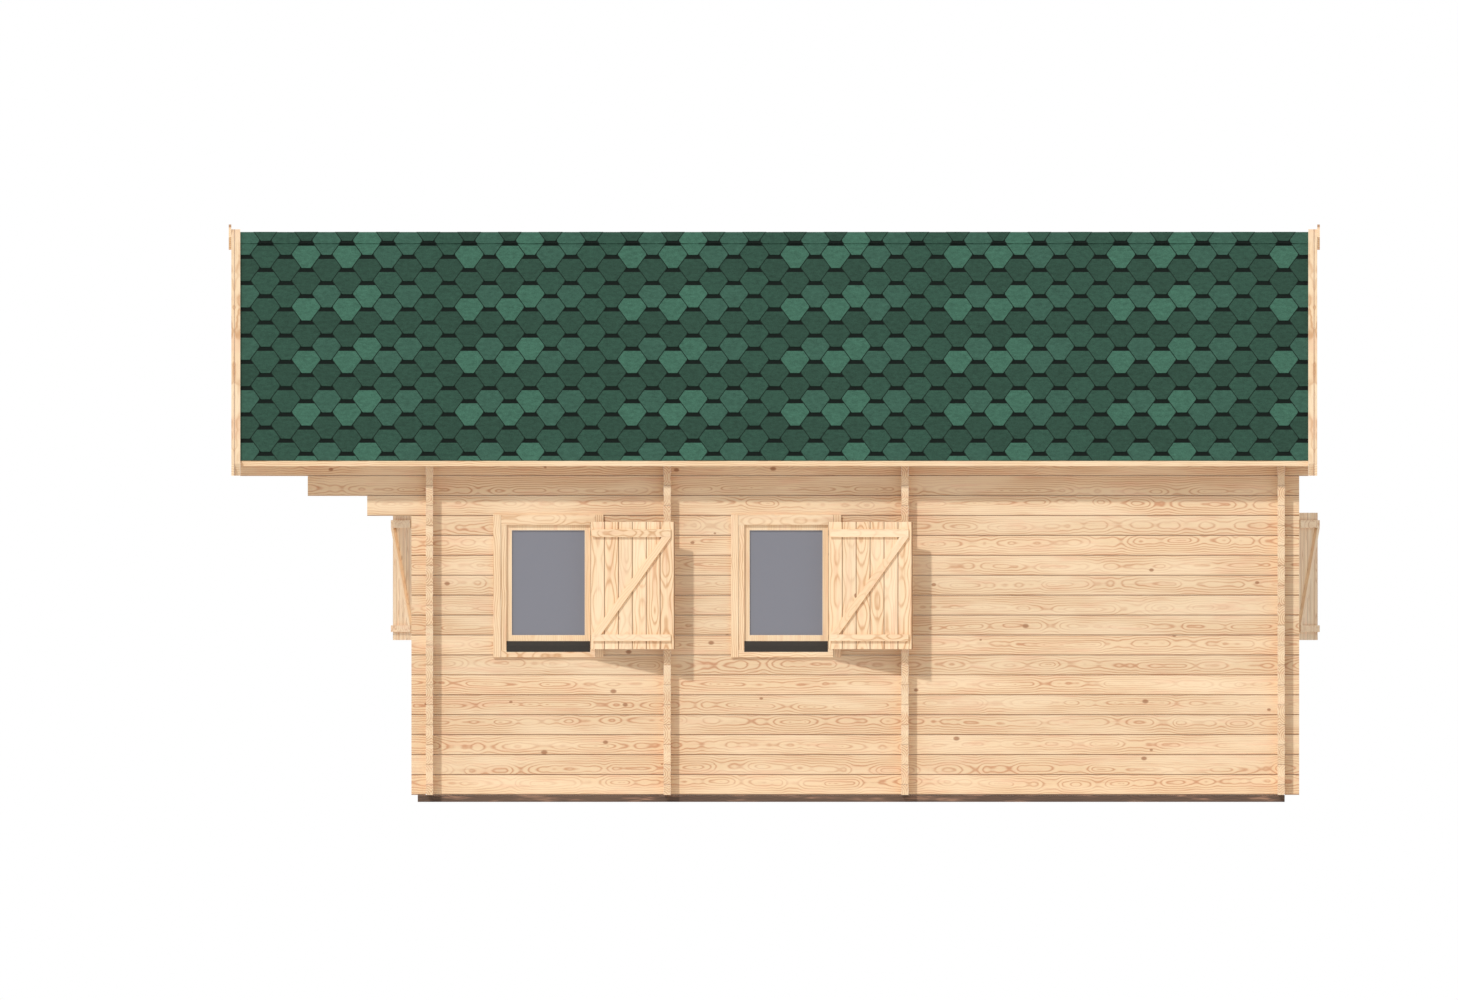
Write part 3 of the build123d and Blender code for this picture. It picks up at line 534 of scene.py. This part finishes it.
def dress_walls():
    """Logs, each wall's depth counted from one of its faces, and the beams and floor boards."""
    # Each log's lower chamfer gets painted shade as wide as the chamfer
    half_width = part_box("foundation_beams")[1][1]
    for name, wall_y in (("right_wall", -half_width), ("left_wall", half_width)):
        origin = (0, wall_y, WALL_BASE)
        dress(wood(f"logs_{name}", LONG_WALL, SEEDS[name], origin, groove=LOG_CHAMFER), name)
    faces = {name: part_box(name)[0][0] for name in ("front_wall", "front_partition", "rear_partition")}
    faces["rear_wall"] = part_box("rear_wall")[1][0]
    for number, (name, wall_x) in enumerate(faces.items()):
        origin = (wall_x, 0, WALL_BASE - COURSE / 2)
        seed = SEEDS["cross_walls"] + WALL_SEED_STEP * number
        dress(wood(f"logs_{name}", CROSS_WALL, seed, origin, groove=LOG_CHAMFER), name)
    dress(wood("dark_beams", LONG_WALL, SEEDS["beams"], colours=BEAMS), "foundation_beams")
    dress(wood("floor", FLOOR, SEEDS["floor"], pitch=FLOOR_BOARD, seam=FLOOR_SEAM), "floor_boards")


def dress_roof():
    """Roof boards, purlins, verge trim, finials and fascia."""
    boards = wood(
        "roof_boards", (DOWN_SLOPE, (1, 0, 0)), SEEDS["roof"], pitch=ROOF_BOARD, mirrored=True,
        seam=ROOF_SEAM,
    )
    dress(boards, "right_roof_boards", "left_roof_boards")
    purlins = wood("purlins", LONG_WALL, SEEDS["purlins"], PURLIN_START, PURLIN_ROW)
    dress(purlins, "ridge_purlin", "right_purlins", "left_purlins")
    for end, inner_side in (("front", 1), ("rear", 0)):
        verge = wood(
            f"{end}_verge_trim", (DOWN_SLOPE, OFF_SLOPE), SEEDS["verge"], VERGE_START, VERGE_ROW, TRIM,
            mirrored=True, joint=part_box(f"{end}_bargeboards")[inner_side][0],
        )
        dress(verge, f"{end}_verge_boards", f"{end}_bargeboards")
    finials = wood("finials", UPRIGHT_Y, SEEDS["finials"], FINIAL_START, FINIAL_ROW, TRIM)
    dress(finials, "front_finial", "rear_finial")
    dress(wood("fascia", LONG_WALL, SEEDS["fascia"], FASCIA_START, FASCIA_ROW, TRIM), "fascia_boards")


def dress_casings(number, axes, foot_width, repeat, *nodes):
    """Upright boards with a bead, and boards laid across above and below, round a wall's windows."""
    low, high = (Vector(corner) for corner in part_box(nodes[0]))
    middle = (low + high) / 2
    if repeat:
        middle.x -= repeat / 2
    half_height = (high.z - low.z) / 2
    rails = (foot_width - half_height, half_height - RAIL_WIDTH, BEAD_PLACE)
    seed = SEEDS["casings"] + CASING_SEED_STEP * number
    casing = wood(
        f"casing_{number}", axes, seed, middle, BEAD_PLACE, TRIM, seam=BEAD_SEAM, repeat=repeat, rails=rails,
    )
    dress(casing, *nodes)


def dress_windows_and_door():
    """Casings, sashes, panes and sills, and the door with its handle."""
    dress_casings(1, UPRIGHT_X, FOOT_WIDTH, WINDOW_SPACING, "right_window_frames", "left_window_frames")
    dress_casings(2, UPRIGHT_Y, FOOT_WIDTH, None, "front_window_frame")
    dress_casings(3, UPRIGHT_Y, FOOT_WIDTH, None, "rear_window_frame")
    dress_casings(4, UPRIGHT_Y, 0.0, None, "door_frame")
    sash = wood(
        "sashes", UPRIGHT_X, SEEDS["sashes"], SASH_START, SASH_ROW, PLAIN_TRIM, knots=0.0,
        arch_rate=LONG_ARCH_RATE,
    )
    dress(sash, "window_sashes")
    dress(wood("door", UPRIGHT_Y, SEEDS["door"], DOOR_START, DOOR_BOARD, TRIM, seam=DOOR_SEAM), "door_leaf")
    glass = speckled("glass", GLASS, spread=0.03, rate=2.0, roughness=0.08, coat=0.3)
    dress(glass, "window_panes", "door_pane")
    dress(speckled("sill_metal", SILL, spread=0.25, rate=60.0, roughness=0.6, specular=0.2), "window_sills")
    dress(speckled("handle_steel", STEEL, spread=0.1, rate=120.0, roughness=0.3, metallic=1.0), "door_handle")


def shutter_axes(wall_turn, side):
    """Directions along an open shutter's boards, and across them away from its hinge."""
    spin = Matrix.Rotation(wall_turn, 3, "Z")
    lean = Matrix.Rotation(side * OPEN_TURN, 3, "Z")
    return UP, spin @ lean @ Vector((side, 0, 0))


def lengthen_brace(mesh, place, up, across):
    """Carry the brace up to the upper ledger's end, and return its direction and its height range."""
    spots = []
    for vertex in mesh.vertices:
        shutter = math.floor((vertex.co.x - place.x + HINGE_MARGIN) / WINDOW_SPACING)
        reach = (vertex.co - place).dot(across) - shutter * WINDOW_SPACING * across.x
        spots.append((reach, vertex.co.z))
    low = min(z for _, z in spots)
    start = min(reach for reach, _ in spots)
    end = max(reach for reach, _ in spots)
    foot, head = low + BRACE_FOOT, low + BRACE_HEAD
    width = max(reach for reach, z in spots if abs(z - foot) < SMALL) - start
    for vertex, (reach, z) in zip(mesh.vertices, spots):
        if end - reach < SMALL and foot + SMALL < z < head - SMALL:
            vertex.co.z = head
        elif end - reach < SMALL and abs(z - head) < SMALL:
            vertex.co -= across * width
    return up * (head - foot) + across * (end - start - width), foot, head


def dress_shutter(prefix, place, axes, seed, body, repeat=None):
    """Boards with seams, and battens whose grain follows each of them."""
    up, across = axes
    place = Vector(place)
    boards = wood(
        f"{prefix}_wood", (up, across), seed, place, SHUTTER_BOARD, TRIM, seam=SHUTTER_SEAM, repeat=repeat,
        knots=SHUTTER_KNOT_SIZE, arch_rate=LONG_ARCH_RATE,
    )
    dress(boards, f"{prefix}_boards")
    mesh = frame["nodes"][f"{prefix}_battens"].data.copy()
    slant, foot, head = lengthen_brace(mesh, place, up, across)
    slant_axes = (slant, across.cross(up).cross(slant))
    mesh.materials.clear()
    ledger_seed, brace_seed = seed + LEDGER_SEED_STEP, seed + BRACE_SEED_STEP
    ledger = wood(f"{prefix}_ledger_wood", (across, up), ledger_seed, place, LEDGER_ROW, TRIM, knots=0.0)
    brace = wood(f"{prefix}_brace_wood", slant_axes, brace_seed, place, BRACE_ROW, PLAIN_TRIM, knots=0.0)
    mesh.materials.append(ledger)
    mesh.materials.append(brace)
    for polygon in mesh.polygons:
        heights = [mesh.vertices[i].co.z for i in polygon.vertices]
        polygon.material_index = int(min(heights) > foot - SMALL and max(heights) < head + SMALL)
    battens = bpy.data.objects.new(f"{prefix}_ledgers_and_brace", mesh)
    bpy.context.scene.collection.objects.link(battens)
    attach(battens, body)
    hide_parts(f"{prefix}_battens")


def dress_shutters():
    """The four shutters that turn, the left wall's two, and their ironwork."""
    iron = speckled("black_iron", IRON, spread=0.3, rate=90.0, roughness=0.5, metallic=0.4)
    dress(iron, "shutter_pintles", "left_shutter_hinges")
    places = {joint["child"]: joint["pos_m"] for joint in frame["joints"]}
    for number, (name, (wall_turn, side)) in enumerate(SHUTTERS.items()):
        seed = SEEDS["shutters"] + SHUTTER_SEED_STEP * number
        dress_shutter(name, places[name], shutter_axes(wall_turn, side), seed, name)
        dress(iron, f"{name}_hinges")
    left_place = Vector(places["right_front_shutter"]) * TO_LEFT_WALL
    up, across = shutter_axes(0.0, 1)
    left_axes = (up, across * TO_LEFT_WALL)
    repeat = WINDOW_SPACING * across.x
    dress_shutter("left_shutter", left_place, left_axes, SEEDS["left_shutter"], "house", repeat)


def clipped(outline, x_low, x_high, s_low, s_high):
    """The part of a convex outline inside a rectangle."""
    for axis, limit, sign in ((0, x_low, 1), (0, x_high, -1), (1, s_low, 1), (1, s_high, -1)):
        kept = []
        for here, after in zip(outline, outline[1:] + outline[:1]):
            inside_here = sign * (here[axis] - limit) >= 0
            inside_after = sign * (after[axis] - limit) >= 0
            if inside_here:
                kept.append(here)
            if inside_here != inside_after:
                share = (limit - here[axis]) / (after[axis] - here[axis])
                kept.append(tuple(h + share * (a - h) for h, a in zip(here, after)))
        outline = kept
        if len(outline) < 3:
            return []
    return outline


def tab_zones():
    """A tab's outlines round the middle of its lower edge, each with its kind. The 'line' strips along its
    slanted lower sides are painted shade where the tab steps down onto the row below.
    """
    flat = TAB_FLAT / 2
    wide = TAB_WIDTH / 2
    rise = TAB_EXPOSURE
    band = 2 * rise - SHADE_BAND
    top = 2 * rise + TAB_OVERLAP
    body = [(-flat + PAINTED_EDGE_SHADE, 0), (flat - PAINTED_EDGE_SHADE, 0), (wide - PAINTED_EDGE_SHADE, rise), (wide - PAINTED_EDGE_SHADE, band),
            (PAINTED_EDGE_SHADE - wide, band), (PAINTED_EDGE_SHADE - wide, rise)]
    right = [(flat - PAINTED_EDGE_SHADE, 0), (flat, 0), (wide, rise), (wide - PAINTED_EDGE_SHADE, rise)]
    left = [(-x, s) for x, s in reversed(right)]
    shade = [(-wide, band), (wide, band), (wide, top), (-wide, top)]
    return (("body", body), ("line", right), ("line", left), ("shade", shade))


def tab_tone(row, column):
    """A tab's own green. The strips are alike, so the greens come round again in both directions."""
    blend = random.Random(TONE_SEED + row % TONE_ROWS * TONE_COLUMNS + column % TONE_COLUMNS)
    shade = random.Random(row * ROW_SEEDS + column).uniform(*TAB_TONES)
    return [c * shade for c in linear(blend.choice(SHINGLE_TONES))[:3]] + [1.0]


def placed_tabs(x_low, x_high, length):
    """Tab zones in X and in height up the slope from its foot, with the tab's foot, row and column.

    Rows count down from the ridge, and a tab that an edge cuts through counts too.
    """
    rows = math.ceil((length - TOP_ROW) / TAB_EXPOSURE) + 1
    columns = math.ceil((x_high - x_low) / TAB_PITCH) + 1
    for row in range(rows, -2, -1):
        start = length - TOP_ROW - row * TAB_EXPOSURE
        for column in range(-1, columns):
            middle = x_low + TAB_SETOFF + (column + 0.5 * (row % 2)) * TAB_PITCH
            for kind, outline in tab_zones():
                placed = clipped([(middle + x, start + s) for x, s in outline], x_low, x_high, 0.0, length)
                if placed:
                    yield kind, placed, start, row, column


def shingle_tabs(name, side, node, granules):
    """A layer's tabs on one slope as one mesh. side is -1 on the right-hand slope and 1 on the left."""
    low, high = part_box(node)
    foot_y = max(abs(low[1]), abs(high[1]))
    foot_z = high[2] - foot_y * math.tan(PITCH)
    length = foot_y / math.cos(PITCH)
    vertices, faces, tones = [], [], []
    for kind, placed, start, row, column in placed_tabs(low[0], high[0], length):
        colour = tab_tone(row, column) if kind == "body" else linear(EDGE_COLOURS[kind])
        first = len(vertices)
        for under in (0.0, TAB_THICKNESS):
            for x, s in placed:
                drop = (s - start) * TAB_TILT + under
                y = foot_y - s * math.cos(PITCH) - drop * math.sin(PITCH)
                z = foot_z + s * math.sin(PITCH) - drop * math.cos(PITCH)
                vertices.append((x, side * max(y, 0.0), z))
        count = len(placed)
        top = [first + i for i in range(count)]
        bottom = [first + count + i for i in range(count)]
        if side > 0:
            top.reverse()
            bottom.reverse()
        faces.append(top)
        faces.append(bottom[::-1])
        for i in range(count):
            j = (i + 1) % count
            faces.append([top[j], top[i], bottom[i], bottom[j]])
        tones.extend([colour] * (count + 2))
    mesh = bpy.data.meshes.new(name)
    mesh.from_pydata(vertices, [], faces)
    layer = mesh.color_attributes.new("tone", "FLOAT_COLOR", "CORNER")
    for polygon, colour in zip(mesh.polygons, tones):
        for loop in polygon.loop_indices:
            layer.data[loop].color = colour
    mesh.update()
    tabs = bpy.data.objects.new(name, mesh)
    bpy.context.scene.collection.objects.link(tabs)
    mesh.materials.append(granules)
    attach(tabs, "house")
    return tabs


def lay_shingles():
    """Tabs over both slopes and over both sides of the ridge."""
    granules = shingle_material()
    for side, word in ((-1, "right"), (1, "left")):
        for layer, node in (("shingle", f"{word}_shingles"), ("ridge", "ridge_cap")):
            tabs = shingle_tabs(f"{word}_{layer}_tabs", side, node, granules)
            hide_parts(node)


def plain_floor():
    """A wide pale floor at the house's foot."""
    bpy.ops.mesh.primitive_plane_add(size=FLOOR_SIZE, location=(0, 0, -FLOOR_DROP))
    floor = bpy.context.object
    floor.name = "floor_plane"
    floor.data.materials.append(speckled("pale_floor", PALE_FLOOR, spread=0.01, rate=1.0, roughness=0.9))


def light_up():
    """A sun, and a sky that the camera sees as white."""
    sun = bpy.data.objects.new("sun", bpy.data.lights.new("sun", "SUN"))
    sun.data.energy = SUN_STRENGTH
    sun.data.angle = SUN_SPREAD
    sun.rotation_mode = "QUATERNION"
    sun.rotation_quaternion = SUN_DIRECTION.to_track_quat("-Z", "Y")
    bpy.context.scene.collection.objects.link(sun)
    world = bpy.data.worlds.new("sky")
    world.use_nodes = True
    bpy.context.scene.world = world
    tree = world.node_tree
    background = tree.nodes["Background"]
    background.inputs["Color"].default_value = (1, 1, 1, 1)
    rays = tree.nodes.new("ShaderNodeLightPath")
    seen = rays.outputs["Is Camera Ray"]
    for ray in ("Is Glossy Ray", "Is Transmission Ray"):
        highest = tree.nodes.new("ShaderNodeMath")
        highest.operation = "MAXIMUM"
        tree.links.new(seen, highest.inputs[0])
        tree.links.new(rays.outputs[ray], highest.inputs[1])
        seen = highest.outputs[0]
    strength = tree.nodes.new("ShaderNodeMapRange")
    tree.links.new(seen, strength.inputs[0])
    strength.inputs["To Min"].default_value = SKY_STRENGTH
    strength.inputs["To Max"].default_value = 1.0
    tree.links.new(strength.outputs[0], background.inputs["Strength"])


def set_camera():
    """A square-on view of the right-hand long wall with no perspective."""
    camera = bpy.data.objects.new("camera", bpy.data.cameras.new("camera"))
    camera.data.type = "ORTHO"
    camera.data.ortho_scale = IMAGE_WIDTH * METRES_PER_PIXEL
    camera.location = (CAMERA_X, -CAMERA_DISTANCE, CAMERA_Z)
    camera.rotation_euler = (math.pi / 2, 0, 0)
    bpy.context.scene.collection.objects.link(camera)
    bpy.context.scene.camera = camera


dress_walls()
dress_roof()
dress_windows_and_door()
dress_shutters()
lay_shingles()
plain_floor()
light_up()
set_camera()
bpy.context.scene.view_settings.view_transform = "Standard"
